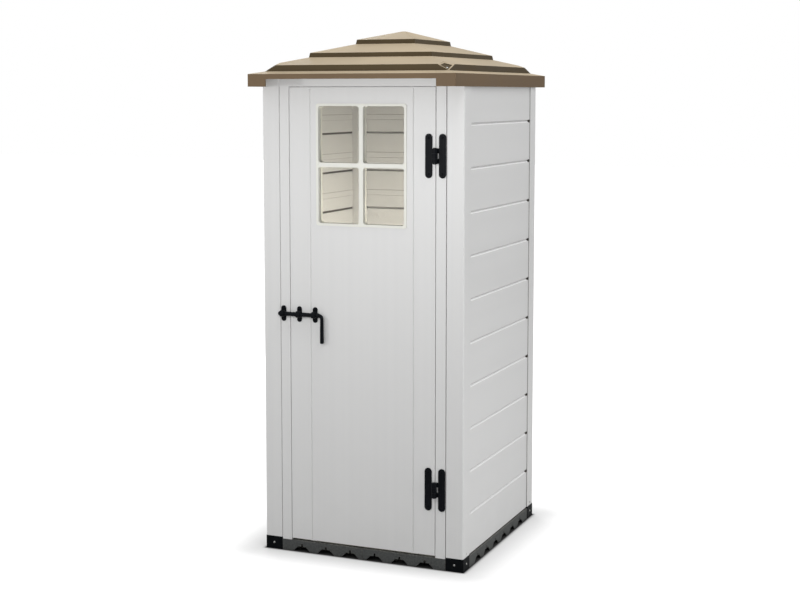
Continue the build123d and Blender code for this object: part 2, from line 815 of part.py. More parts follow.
def main():
    """Build every piece and write it to its own file."""
    os.makedirs("parts", exist_ok=True)
    boot_screws = []
    post_screws = []
    hip_clips = []
    hip_screws = []
    panels, roof_inside = roof_panels()
    for name, (side_x, side_y) in corners.items():
        save(f"floor_tile_{name}", floor_tile(side_x, side_y))
        save(f"corner_boot_{name}", corner_boot(side_x, side_y))
        save(f"corner_post_{name}", corner_post(side_x, side_y))
        for place, direction in boot_screw_places(side_x, side_y):
            boot_screws.append(screw(place, direction))
        post_screws.append(screw(post_screw_place(side_x, side_y), (-side_x, 0, 0)))
        hip_clips.append(hip_clip(side_x, side_y, roof_inside))
        hip_screws.append(screw(*hip_screw_place(side_x, side_y)))
    save("boot_screws", *boot_screws)
    save("post_screws", *post_screws)

    right_boards = side_wall_boards()
    save("right_wall_boards", *right_boards)
    save("left_wall_boards", *[mirror(board, about=Plane.YZ) for board in right_boards])
    save("back_wall_boards", *back_wall_boards())
    save("right_top_rail", side_rail())
    save("left_top_rail", mirror(side_rail(), about=Plane.YZ))
    save("back_top_rail", back_rail())

    frame_screw_places = all_leaf_screw_places(1)
    door_screw_places = all_leaf_screw_places(-1)
    keeper_places = guide_screw_places(keeper_x)
    outer_guide_places = guide_screw_places(outer_guide_x)
    inner_guide_places = guide_screw_places(inner_guide_x)
    save("hinge_jamb", drill(jamb(), frame_screw_places, into_front))
    save("latch_jamb", drill(mirror(jamb(), about=Plane.YZ), keeper_places, into_front))
    save("door_header", door_header())

    for name, panel in panels.items():
        save(f"roof_{name}_panel", panel)
    save("roof_hip_clips", *hip_clips)
    save("roof_hip_screws", *hip_screws)

    save("door_hinge_stile", drill(door_stile(1), door_screw_places, into_front))
    save("door_latch_stile", drill(door_stile(-1), outer_guide_places, into_front))
    save("door_centre_panel", drill(door_centre_panel(), inner_guide_places, into_front))
    strips = [
        upright(strip_section(joint_x, 0), door_bottom - strip_tab, panel_top)
        for joint_x in (-door_joint_x, door_joint_x)
    ]
    save("door_joint_strips", *strips)
    save("door_top_cap", door_cap(panel_top, door_top))
    save("door_bottom_cap", door_bottom_cap())

    save("window_outer_frame", window_frame(glass_front_y, front_y, -1))
    save("window_pane", window_pane())
    save("window_inner_frame", window_frame(glass_back_y, door_back_y, 1))

    for name, height in zip(("lower", "upper"), hinge_heights):
        save(f"{name}_hinge_frame_leaf", hinge_leaf(1, height))
        save(f"{name}_hinge_door_leaf", hinge_leaf(-1, height))
        save(f"{name}_hinge_pin", hinge_pin(height))
    save("hinge_frame_screws", *screws(frame_screw_places, into_front))
    save("hinge_door_screws", *screws(door_screw_places, into_front))

    save("bolt_keeper", bolt_guide(keeper_x))
    save("bolt_outer_guide", bolt_guide(outer_guide_x))
    save("bolt_inner_guide", bolt_guide(inner_guide_x))
    save("bolt_keeper_screws", *screws(keeper_places, into_front))
    save("bolt_guide_screws", *screws(outer_guide_places + inner_guide_places, into_front))
    save("bolt_rod", bolt_rod())
    save("bolt_handle", bolt_handle())


main()
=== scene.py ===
"""Dressed garden shed: moulded-plastic finishes, rounded edges, screws and a studio stage.

Metres. +Z is up and the door faces -Y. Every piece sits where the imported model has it.
"""

import functools
import json
import math

import bmesh
import bpy
from bpy.props import FloatProperty, FloatVectorProperty, IntProperty, PointerProperty
from mathutils import Matrix, Vector


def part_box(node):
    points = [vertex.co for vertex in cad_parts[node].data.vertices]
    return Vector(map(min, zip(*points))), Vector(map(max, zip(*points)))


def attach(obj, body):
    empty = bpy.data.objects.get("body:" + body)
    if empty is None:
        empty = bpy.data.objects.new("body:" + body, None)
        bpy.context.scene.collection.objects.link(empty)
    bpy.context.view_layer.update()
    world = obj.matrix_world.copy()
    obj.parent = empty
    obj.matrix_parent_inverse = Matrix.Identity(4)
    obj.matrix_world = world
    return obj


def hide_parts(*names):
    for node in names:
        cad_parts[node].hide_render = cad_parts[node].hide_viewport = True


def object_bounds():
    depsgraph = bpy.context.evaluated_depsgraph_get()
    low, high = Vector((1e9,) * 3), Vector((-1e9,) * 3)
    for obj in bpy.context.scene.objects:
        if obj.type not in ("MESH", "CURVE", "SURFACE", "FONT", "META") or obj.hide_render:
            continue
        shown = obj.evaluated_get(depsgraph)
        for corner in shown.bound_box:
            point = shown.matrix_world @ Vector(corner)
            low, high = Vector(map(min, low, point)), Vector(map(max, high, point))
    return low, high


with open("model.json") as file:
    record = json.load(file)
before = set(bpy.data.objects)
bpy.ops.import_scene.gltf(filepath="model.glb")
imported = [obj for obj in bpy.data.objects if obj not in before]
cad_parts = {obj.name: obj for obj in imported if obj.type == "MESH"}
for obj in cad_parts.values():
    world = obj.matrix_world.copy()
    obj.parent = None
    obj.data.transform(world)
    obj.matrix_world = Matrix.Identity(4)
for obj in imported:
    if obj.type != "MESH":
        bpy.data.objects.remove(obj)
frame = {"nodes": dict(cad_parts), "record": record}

bl_info = {
    "name": "Garden shed",
    "version": (1, 0, 0),
    "blender": (4, 5, 0),
    "location": "View3D > Sidebar > Shed",
    "description": "Finishes, rounded edges, screws and a stage for an upright garden shed",
    "category": "Object",
}

cad_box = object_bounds()
corner_names = ("front_left", "front_right", "back_left", "back_right")
wall_names = ("left", "right", "back")

# Smallest distances that count, and the parts of a normal that make a face a slope or flat.
join_gap = 2e-6
level_gap = 2e-5
slope_least = 0.3
flat_least = 0.9

# Shares of the painted shadow on marked faces that aren't deep lines: shallow scores, the downward slopes of
# the outer grooves, and a post's lips.
score_shadow = 0.5
groove_shadow = 0.25
lip_shadow = 0.6


def colour(name, description, red, green, blue):
    """A colour property in linear light."""
    return FloatVectorProperty(
        name=name,
        description=description,
        subtype="COLOR",
        size=4,
        min=0.0,
        max=1.0,
        default=(red, green, blue, 1.0),
    )


def plain_number(name, description, default):
    """A plain number that isn't below zero."""
    return FloatProperty(name=name, description=description, min=0.0, default=default)


def size(name, description, metres):
    """A length property."""
    return FloatProperty(
        name=name,
        description=description,
        subtype="DISTANCE",
        unit="LENGTH",
        precision=4,
        min=0.0,
        default=metres,
    )


class ShedFinish(bpy.types.PropertyGroup):
    """Colours of the shed's finishes, and of the light and shade painted on them"""

    wall: colour("Wall", "White of the boards, posts and door", 0.80, 0.80, 0.795)
    wall_soil: colour("Wall soil", "Tone of the walls close to the ground", 0.58, 0.58, 0.57)
    # Painted highlight: a brighter colour on the upward slopes of the boards' outer edges, standing in for
    # light.
    crest: colour("Board crest", "Bright upper slope along a board's outer edge", 0.97, 0.97, 0.97)
    # Painted shadow: a dark colour that stands in for the shade in the boards' lines and grooves and along
    # the post lips.
    line_shadow: colour("Line shadow", "Painted shadow in the deep lines of the walls' inner faces", 0.06, 0.045, 0.035)
    cream: colour("Window cream", "Window frame and glazing bars", 0.86, 0.86, 0.80)
    # Painted light and shade: the roof has one colour, painted light where it faces the sky, shade on upright
    # faces and deeper shade on the risers.
    roof_lit: colour("Roof, lit", "Painted light on the roof faces that face the sky", 0.49, 0.40, 0.275)
    roof_shaded: colour("Roof, shaded", "Painted shade on upright roof faces", 0.17, 0.115, 0.065)
    roof_riser_shadow: colour("Roof, risers", "Deeper painted shade on the risers of the roof's steps", 0.078, 0.055, 0.025)
    floor: colour("Floor", "Dark grey of the floor tiles", 0.062, 0.066, 0.064)
    floor_dust: colour("Floor dust", "Dust on the upper edges of the tiles", 0.16, 0.155, 0.14)
    boot: colour("Boot", "Black of the corner boots", 0.003, 0.004, 0.005)
    fitting: colour("Fitting", "Black paint of the hinges and the bolt", 0.006, 0.007, 0.009)
    fitting_worn: colour("Fitting, worn", "Paint rubbed along the edges of the fittings", 0.04, 0.041, 0.044)
    steel: colour("Steel", "Bright steel of the screws", 0.62, 0.62, 0.60)
    pane: colour("Pane", "Tint of the clear glazing", 0.97, 0.985, 0.98)


class ShedDetail(bpy.types.PropertyGroup):
    """Sizes that only the dressed shed has"""

    board_count: IntProperty(name="Boards", description="Boards in each wall", default=11, min=1)
    board_round: size("Board round", "Rounding of a board's edges", 0.0009)
    board_bevel: size("Board bevel", "Slope along a board's outer edges", 0.0055)
    inner_line: size("Inner line", "Height of the deep line across a board's inner face", 0.107)
    inner_line_width: size("Inner line width", "Width of that line", 0.008)
    inner_line_depth: size("Inner line depth", "Depth of that line", 0.006)
    tongue_width: size("Tongue width", "Thickness of a board's tongue", 0.007)
    tongue_height: size("Tongue height", "Reach of a board's tongue", 0.006)
    tongue_fit: size("Tongue fit", "Play between a tongue and its groove", 0.0003)
    score: size("Score", "Height of the shallow line across a board's inner face", 0.023)
    score_width: size("Score width", "Width of that line", 0.002)
    score_depth: size("Score depth", "Depth of that line", 0.001)
    # Scales the painted shadow in the back wall's lines.
    back_shadow: plain_number("Back shadow", "Share of the painted shadow that the back wall's lines hold", 0.6)
    # Length of the painted shadow at the back end of each outer groove.
    line_end: size("Line end", "Dark length of a groove before the back post", 0.016)
    roof_round: size("Roof round", "Rounding of the roof's moulded edges", 0.004)
    riser_level: size("Riser level", "Height above which upright roof faces are risers", 1.846)
    boot_round: size("Boot round", "Rounding of a boot's edges", 0.002)
    tile_round: size("Tile round", "Rounding of a floor tile's outer edges", 0.0015)
    post_round: size("Post round", "Rounding of a post's outer corner", 0.003)
    # Reach of the painted shadow along a post's lips.
    lip_reach: size("Lip reach", "Depth of the painted shadow between a post's lips and the boards", 0.006)
    door_round: size("Door round", "Rounding of the door's and frame's edges", 0.0012)
    window_round: size("Window round", "Rounding of the window frame", 0.0016)
    fitting_round: size("Fitting round", "Rounding of the hinges and the bolt", 0.0009)
    grip_growth: plain_number("Grip growth", "Swell of the bolt's grip", 0.6)
    head_radius: size("Screw head", "Radius of a screw's head", 0.0042)
    head_height: size("Head height", "Height of a screw's domed head", 0.0022)
    recess_length: size("Recess length", "Length of the cross in a screw's head", 0.0046)
    recess_width: size("Recess width", "Width of the cross in a screw's head", 0.0011)
    recess_depth: size("Recess depth", "Depth of the cross in a screw's head", 0.0013)
    shank_radius: size("Shank radius", "Radius of a screw's shank", 0.0017)
    shank_length: size("Shank length", "Length of a screw's shank", 0.0105)


class ShedStage(bpy.types.PropertyGroup):
    """Camera, lamps and floor"""

    lens: FloatProperty(name="Lens", description="Focal length in millimetres", default=66.79, min=1.0)
    shift: FloatProperty(name="Shift", description="Upward shift of the picture", default=-0.07)
    place: FloatVectorProperty(
        name="Camera",
        description="Place of the camera",
        subtype="TRANSLATION",
        unit="LENGTH",
        default=(2.2645, -5.4482, 1.7683),
    )
    tilt: FloatProperty(
        name="Tilt",
        description="Downward tilt of the camera",
        subtype="ANGLE",
        unit="ROTATION",
        default=math.radians(5.776),
    )
    turn: FloatProperty(
        name="Turn",
        description="Turn of the camera to its left",
        subtype="ANGLE",
        unit="ROTATION",
        default=math.radians(22.742),
    )
    floor_reach: size("Floor", "Half the width of the floor", 30.0)
    sky: plain_number("Sky", "Strength of the all-round light", 0.51)
    front: plain_number("Front", "Power of the lamp before the door", 6.6)
    key: plain_number("Key", "Power of the lamp at the front left", 10.0)
    top: plain_number("Top", "Power of the overhead lamp", 84.0)
    side: plain_number("Side", "Power of the low lamp on the right", 9.5)
    high: plain_number("High", "Power of the high lamp on the right", 8.0)
    back: plain_number("Back", "Power of the lamp behind the shed", 60.0)
    inner: plain_number("Inside", "Power of the lamp in the shed", 6.0)
    inner_tint: colour("Inside tint", "Warm tint of the lamp in the shed", 1.0, 0.92, 0.78)


def put(tree, kind, inputs=None, **settings):
    """A new node. An input that is a socket is linked, and any other value is stored."""
    node = tree.nodes.new(kind)
    for key, value in settings.items():
        setattr(node, key, value)
    for key, value in (inputs or {}).items():
        if isinstance(value, bpy.types.NodeSocket):
            tree.links.new(value, node.inputs[key])
        else:
            node.inputs[key].default_value = value
    return node


def new_group(name, kind, inputs, outputs):
    """An empty node group with named sockets, and its input and output nodes."""
    tree = bpy.data.node_groups.new(name, kind)
    for direction, sockets in (("INPUT", inputs), ("OUTPUT", outputs)):
        for label, socket_type in sockets.items():
            tree.interface.new_socket(label, in_out=direction, socket_type=f"NodeSocket{socket_type}")
    entry = tree.nodes.new("NodeGroupInput")
    leave = tree.nodes.new("NodeGroupOutput")
    return tree, entry.outputs, leave


def math_node(tree, operation, first, second=0.0, third=0.0, clamp=False):
    """The result of one sum."""
    inputs = {0: first, 1: second, 2: third}
    return put(tree, "ShaderNodeMath", inputs, operation=operation, use_clamp=clamp).outputs[0]


def blend_colours(tree, factor, first, second):
    """A colour between two others."""
    node = put(tree, "ShaderNodeMix", {"Factor": factor, 6: first, 7: second}, data_type="RGBA")
    return node.outputs[2]


def remap(tree, value, low, high, new_low=0.0, new_high=1.0):
    """A value eased from one range to another."""
    inputs = {"Value": value, "From Min": low, "From Max": high, "To Min": new_low, "To Max": new_high}
    return put(tree, "ShaderNodeMapRange", inputs, interpolation_type="SMOOTHSTEP").outputs[0]


@functools.cache
def grain_group():
    """Fine moulded grain and a slow drift of tone."""
    tree, entry, leave = new_group(
        "Moulded grain",
        "ShaderNodeTree",
        {"Scale": "Float", "Drift Scale": "Float"},
        {"Height": "Float", "Tone": "Float"},
    )
    place = put(tree, "ShaderNodeTexCoord").outputs["Object"]
    fine = put(tree, "ShaderNodeTexNoise", {"Vector": place, "Scale": entry["Scale"], "Detail": 3.0})
    drift = put(tree, "ShaderNodeTexNoise", {"Vector": place, "Scale": entry["Drift Scale"], "Detail": 2.0})
    tree.links.new(fine.outputs["Fac"], leave.inputs["Height"])
    tree.links.new(drift.outputs["Fac"], leave.inputs["Tone"])
    return tree


@functools.cache
def lines_group():
    """Faint lines along an extrusion: the stretch is short along its length."""
    tree, entry, leave = new_group(
        "Extrusion lines",
        "ShaderNodeTree",
        {"Stretch": "Vector"},
        {"Height": "Float", "Tone": "Float"},
    )
    place = put(tree, "ShaderNodeTexCoord").outputs["Object"]
    stretched = put(tree, "ShaderNodeVectorMath", {0: place, 1: entry["Stretch"]}, operation="MULTIPLY")
    lines = put(tree, "ShaderNodeTexNoise", {"Vector": stretched.outputs[0], "Scale": 1.0, "Detail": 2.0})
    slow = put(tree, "ShaderNodeTexNoise", {"Vector": stretched.outputs[0], "Scale": 0.08, "Detail": 1.0})
    tree.links.new(lines.outputs["Fac"], leave.inputs["Height"])
    tree.links.new(slow.outputs["Fac"], leave.inputs["Tone"])
    return tree


@functools.cache
def soil_group():
    """A clean colour that turns towards a soiled one close to the ground."""
    tree, entry, leave = new_group(
        "Ground soil",
        "ShaderNodeTree",
        {"Clean": "Color", "Soiled": "Color", "Reach": "Float", "Amount": "Float"},
        {"Color": "Color"},
    )
    place = put(tree, "ShaderNodeTexCoord").outputs["Object"]
    height = put(tree, "ShaderNodeSeparateXYZ", {0: place}).outputs["Z"]
    patches = put(tree, "ShaderNodeTexNoise", {"Vector": place, "Scale": 9.0, "Detail": 4.0}).outputs["Fac"]
    near = math_node(tree, "SUBTRACT", 1.0, math_node(tree, "DIVIDE", height, entry["Reach"]), clamp=True)
    mask = math_node(tree, "MULTIPLY", math_node(tree, "POWER", near, 2.0), patches)
    mask = math_node(tree, "MULTIPLY", mask, entry["Amount"], clamp=True)
    tree.links.new(blend_colours(tree, mask, entry["Clean"], entry["Soiled"]), leave.inputs["Color"])
    return tree


@functools.cache
def rub_group():
    """Where rounded edges are rubbed: the edge faces, broken up by noise."""
    tree, entry, leave = new_group(
        "Edge rub",
        "ShaderNodeTree",
        {"Scale": "Float", "Amount": "Float"},
        {"Mask": "Float"},
    )
    place = put(tree, "ShaderNodeTexCoord").outputs["Object"]
    edge = put(tree, "ShaderNodeAttribute", attribute_name="edge").outputs["Fac"]
    noise = put(tree, "ShaderNodeTexNoise", {"Vector": place, "Scale": entry["Scale"], "Detail": 4.0})
    broken = remap(tree, noise.outputs["Fac"], 0.35, 0.65)
    mask = math_node(tree, "MULTIPLY", math_node(tree, "MULTIPLY", edge, broken), entry["Amount"])
    tree.links.new(mask, leave.inputs["Mask"])
    return tree


def start_material(name):
    """A new material with its tree and its shader."""
    material = bpy.data.materials.new(name)
    material.use_nodes = True
    tree = material.node_tree
    return material, tree, tree.nodes["Principled BSDF"]


def use(tree, group, inputs):
    """A shader group placed in a material."""
    return put(tree, "ShaderNodeGroup", inputs, node_tree=group).outputs


def relief(tree, shader, height, strength, distance):
    """Bumps on a shader from a height."""
    node = put(tree, "ShaderNodeBump", {"Height": height, "Strength": strength, "Distance": distance})
    tree.links.new(node.outputs[0], shader.inputs["Normal"])


def toned(tree, shader, base, tone, low, high):
    """The base colour made a little darker or lighter by a tone."""
    factor = remap(tree, tone, 0.25, 0.75, low, high)
    shaded = put(tree, "ShaderNodeVectorMath", {0: base, "Scale": factor}, operation="SCALE")
    tree.links.new(shaded.outputs[0], shader.inputs["Base Color"])


def vary_roughness(tree, shader, tone, low, high):
    """Gloss that changes slowly over the surface."""
    tree.links.new(remap(tree, tone, 0.25, 0.75, low, high), shader.inputs["Roughness"])


def facing_up(tree, low, high):
    """How far a surface faces the sky, eased between two slopes."""
    normal = put(tree, "ShaderNodeNewGeometry").outputs["Normal"]
    return remap(tree, put(tree, "ShaderNodeSeparateXYZ", {0: normal}).outputs["Z"], low, high)


def extruded_plastic(name, clean, soiled, stretch):
    """Satin plastic with faint lines along the extrusion, painted shadow on the faces marked as lines and a
    painted highlight on the marked upper slopes.
    """
    material, tree, shader = start_material(name)
    lines = use(tree, lines_group(), {"Stretch": stretch})
    soil = {"Clean": tuple(clean), "Soiled": tuple(soiled), "Reach": 0.6, "Amount": 0.4}
    # Painted shadow: faces marked as lines are blended towards the dark line colour.
    shadow_mask = put(tree, "ShaderNodeAttribute", attribute_name="line").outputs["Fac"]
    plain = use(tree, soil_group(), soil)["Color"]
    # Painted highlight: faces marked on the boards' upward slopes are blended towards the bright colour.
    crest = put(tree, "ShaderNodeAttribute", attribute_name="crest").outputs["Fac"]
    colours = bpy.context.scene.shed_finish
    base = blend_colours(tree, shadow_mask, plain, tuple(colours.line_shadow))
    base = blend_colours(tree, crest, base, tuple(colours.crest))
    toned(tree, shader, base, lines["Tone"], 0.985, 1.0)
    vary_roughness(tree, shader, lines["Tone"], 0.34, 0.46)
    relief(tree, shader, lines["Height"], 0.03, 0.0004)
    return material


@functools.cache
def wall_material(along):
    """White plastic of the walls and door, extruded along X, Y or Z."""
    colours = bpy.context.scene.shed_finish
    stretch = tuple(2.0 if axis == along else 500.0 for axis in "XYZ")
    return extruded_plastic(f"wall_white_{along}", colours.wall, colours.wall_soil, stretch)


@functools.cache
def cream_material():
    """Cream plastic of the window frame."""
    colours = bpy.context.scene.shed_finish
    return extruded_plastic("window_cream", colours.cream, colours.cream, (300.0, 300.0, 300.0))


@functools.cache
def roof_material(in_shade=False):
    """Moulded plastic with painted light and shade: a light colour where it faces the sky, painted shade on
    upright faces, deeper painted shade on the risers, and no light colour at all in the shaded copy.
    """
    colours = bpy.context.scene.shed_finish
    material, tree, shader = start_material("roof_clip" if in_shade else "roof_taupe")
    grain = use(tree, grain_group(), {"Scale": 520.0, "Drift Scale": 5.0})
    place = put(tree, "ShaderNodeTexCoord").outputs["Object"]
    height = put(tree, "ShaderNodeSeparateXYZ", {0: place}).outputs["Z"]
    # Painted shade: upright faces above the riser level take the deeper riser colour.
    riser = math_node(tree, "GREATER_THAN", height, bpy.context.scene.shed_detail.riser_level)
    upright = blend_colours(tree, riser, tuple(colours.roof_shaded), tuple(colours.roof_riser_shadow))
    # Painted light: faces towards the sky take the light colour, except in the shaded copy.
    lit_share = 0.0 if in_shade else facing_up(tree, 0.25, 0.8)
    base = blend_colours(tree, lit_share, upright, tuple(colours.roof_lit))
    toned(tree, shader, base, grain["Tone"], 0.92, 1.05)
    vary_roughness(tree, shader, grain["Tone"], 0.5, 0.62)
    relief(tree, shader, grain["Height"], 0.12, 0.0006)
    shader.inputs["Specular IOR Level"].default_value = 0.25
    return material


@functools.cache
def floor_material():
    """Rough grey plastic with dust on what faces up."""
    colours = bpy.context.scene.shed_finish
    material, tree, shader = start_material("floor_grey")
    grain = use(tree, grain_group(), {"Scale": 300.0, "Drift Scale": 150.0})
    dusty = math_node(tree, "MULTIPLY", facing_up(tree, 0.1, 0.9), grain["Tone"])
    rubbed = use(tree, rub_group(), {"Scale": 60.0, "Amount": 0.5})["Mask"]
    mask = math_node(tree, "MAXIMUM", dusty, rubbed)
    base = blend_colours(tree, mask, tuple(colours.floor), tuple(colours.floor_dust))
    toned(tree, shader, base, grain["Tone"], 0.65, 1.3)
    vary_roughness(tree, shader, grain["Tone"], 0.5, 0.7)
    relief(tree, shader, grain["Height"], 0.2, 0.0008)
    return material


def black_finish(name, base, worn, roughness, amount):
    """Black plastic or paint, paler where its edges are rubbed."""
    material, tree, shader = start_material(name)
    grain = use(tree, grain_group(), {"Scale": 900.0, "Drift Scale": 40.0})
    rubbed = use(tree, rub_group(), {"Scale": 220.0, "Amount": amount})["Mask"]
    toned(tree, shader, blend_colours(tree, rubbed, tuple(base), tuple(worn)), grain["Tone"], 0.8, 1.2)
    vary_roughness(tree, shader, grain["Tone"], roughness - 0.06, roughness + 0.08)
    relief(tree, shader, grain["Height"], 0.15, 0.0003)
    shader.inputs["Specular IOR Level"].default_value = 0.06
    return material


@functools.cache
def boot_material():
    """Black plastic of the corner boots."""
    colours = bpy.context.scene.shed_finish
    return black_finish("boot_black", colours.boot, colours.fitting_worn, 0.45, 0.35)


@functools.cache
def fitting_material():
    """Black paint of the hinges and the bolt."""
    colours = bpy.context.scene.shed_finish
    return black_finish("fitting_black", colours.fitting, colours.fitting_worn, 0.36, 0.5)


@functools.cache
def steel_material():
    """Bright plated steel with a fine grain."""
    colours = bpy.context.scene.shed_finish
    material, tree, shader = start_material("screw_steel")
    grain = use(tree, grain_group(), {"Scale": 2500.0, "Drift Scale": 180.0})
    bright = put(tree, "ShaderNodeRGB").outputs[0]
    bright.default_value = tuple(colours.steel)
    toned(tree, shader, bright, grain["Tone"], 0.75, 1.0)
    vary_roughness(tree, shader, grain["Height"], 0.22, 0.4)
    shader.inputs["Metallic"].default_value = 1.0
    return material


@functools.cache
def pane_material():
    """Clear glazing with the faintest smears."""
    colours = bpy.context.scene.shed_finish
    material, tree, shader = start_material("window_clear")
    grain = use(tree, grain_group(), {"Scale": 14.0, "Drift Scale": 3.0})
    shader.inputs["Base Color"].default_value = tuple(colours.pane)
    shader.inputs["Transmission Weight"].default_value = 1.0
    shader.inputs["IOR"].default_value = 1.45
    vary_roughness(tree, shader, grain["Tone"], 0.0, 0.03)
    return material


def link(name, mesh):
    """A new object for a mesh, at the origin."""
    piece = bpy.data.objects.new(name, mesh)
    bpy.context.scene.collection.objects.link(piece)
    return piece


def bake(piece):
    """Replace a piece's mesh with what its modifiers make of it, and drop the modifiers."""
    graph = bpy.context.evaluated_depsgraph_get()
    mesh = bpy.data.meshes.new_from_object(piece.evaluated_get(graph))
    piece.modifiers.clear()
    piece.data = mesh
    return mesh


def smooth(piece, sharp_angle=math.radians(38)):
    """Smooth shading that keeps flat faces flat and sharp corners sharp."""
    piece.data.shade_smooth()
    piece.data.set_sharp_from_angle(angle=sharp_angle)
    piece.modifiers.new("Weighted normals", "WEIGHTED_NORMAL").keep_sharp = True
    bake(piece)


def settle(piece, body, slot, material, *nodes):
    """Give a piece its finish and its body, and let it stand for its nodes."""
    piece.data.materials.clear()
    piece.data.materials.append(material)
    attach(piece, body)
    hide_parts(*nodes)


def paint(node, material):
    """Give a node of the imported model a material."""
    for slot in frame["nodes"][node].material_slots:
        slot.material = material


def body_of(node):
    """The body that carries a node."""
    bodies = frame["record"]["behaviour"]["bodies"]
    return next(body for body, nodes in bodies.items() if node in nodes)


def joined_mesh(node):
    """A node's mesh with its loose triangles joined and its flat faces made whole."""
    mesh = bmesh.new()
    mesh.from_mesh(frame["nodes"][node].data)
    bmesh.ops.remove_doubles(mesh, verts=mesh.verts, dist=join_gap)
    bmesh.ops.dissolve_limit(mesh, angle_limit=math.radians(0.5), verts=mesh.verts, edges=mesh.edges)
    return mesh


def on_side(node, axis, end):
    """A test for faces that lie on one side of a node's box: axis 0 to 2, end 0 low or 1 high."""
    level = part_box(node)[end][axis]
    return lambda face: all(abs(vertex.co[axis] - level) < level_gap for vertex in face.verts)


def any_face(face):
    """The test that every face passes."""
    return True


def rounded_copy(node, radius, test=any_face, both=False, steps=2, least_angle=math.radians(20)):
    """A copy of a node with the edges of its chosen faces rounded, and those faces marked as edges."""
    mesh = joined_mesh(node)
    mark = mesh.faces.layers.float.new("edge")
    chosen = []
    for edge in mesh.edges:
        if len(edge.link_faces) == 2 and edge.calc_face_angle(0.0) > least_angle:
            passes = [test(face) for face in edge.link_faces]
            if all(passes) if both else any(passes):
                chosen.append(edge)
    rounded = bmesh.ops.bevel(
        mesh,
        geom=chosen,
        offset=radius,
        offset_type="OFFSET",
        segments=steps,
        profile=0.5,
        affect="EDGES",
        clamp_overlap=True,
    )
    for face in rounded["faces"]:
        face[mark] = 1.0
    plain = bpy.data.meshes.new(f"{node}_rounded")
    mesh.to_mesh(plain)
    mesh.free()
    piece = link(f"{node}_rounded", plain)
    smooth(piece)
    return piece


def set_inputs(piece, tree, values):
    """A geometry-node modifier on a piece, with its inputs set by name."""
    modifier = piece.modifiers.new(tree.name, "NODES")
    modifier.node_group = tree
    for item in tree.interface.items_tree:
        if item.in_out == "INPUT" and item.name in values:
            modifier[item.identifier] = values[item.name]
    return modifier


@functools.cache
def boards_tree():
    """Tongue-and-groove boards: an outline with rounded corners, pulled to length and stacked."""
    inputs = {
        "Outline": "Geometry",
        "Length": "Float",
        "Count": "Int",
        "Pitch": "Float",
        "Round": "Float",
        "Material": "Material",
    }
    tree, entry, leave = new_group("Wall boards", "GeometryNodeTree", inputs, {"Boards": "Geometry"})
    outline = put(tree, "GeometryNodeMeshToCurve", {"Mesh": entry["Outline"]}).outputs[0]
    rounding = {"Curve": outline, "Radius": entry["Round"], "Limit Radius": True, "Count": 2}
    rounded = put(tree, "GeometryNodeFilletCurve", rounding, mode="POLY").outputs[0]
    end = put(tree, "GeometryNodeFillCurve", {"Curve": rounded}, mode="NGONS").outputs[0]
    pull = {"Mesh": end, "Offset Scale": entry["Length"], "Individual": False}
    pulled = put(tree, "GeometryNodeExtrudeMesh", pull, mode="FACES").outputs[0]
    other_end = put(tree, "GeometryNodeFlipFaces", {"Mesh": end}).outputs[0]
    both = put(tree, "GeometryNodeJoinGeometry")
    tree.links.new(pulled, both.inputs[0])
    tree.links.new(other_end, both.inputs[0])
    merging = {"Geometry": both.outputs[0], "Distance": join_gap / 2}
    board = put(tree, "GeometryNodeMergeByDistance", merging).outputs[0]
    half = math_node(tree, "MULTIPLY", entry["Length"], 0.5)
    centred = put(tree, "ShaderNodeCombineXYZ", {"Y": half}).outputs[0]
    turned = {"Geometry": board, "Translation": centred, "Rotation": (math.pi / 2, 0.0, 0.0)}
    upright = put(tree, "GeometryNodeTransform", turned).outputs[0]
    step = put(tree, "ShaderNodeCombineXYZ", {"Z": entry["Pitch"]}).outputs[0]
    levels = put(tree, "GeometryNodeMeshLine", {"Count": entry["Count"], "Offset": step}).outputs[0]
    stacked = put(tree, "GeometryNodeInstanceOnPoints", {"Points": levels, "Instance": upright}).outputs[0]
    real = put(tree, "GeometryNodeRealizeInstances", {0: stacked}).outputs[0]
    finished = put(tree, "GeometryNodeSetMaterial", {"Geometry": real, "Material": entry["Material"]})
    tree.links.new(finished.outputs[0], leave.inputs[0])
    return tree


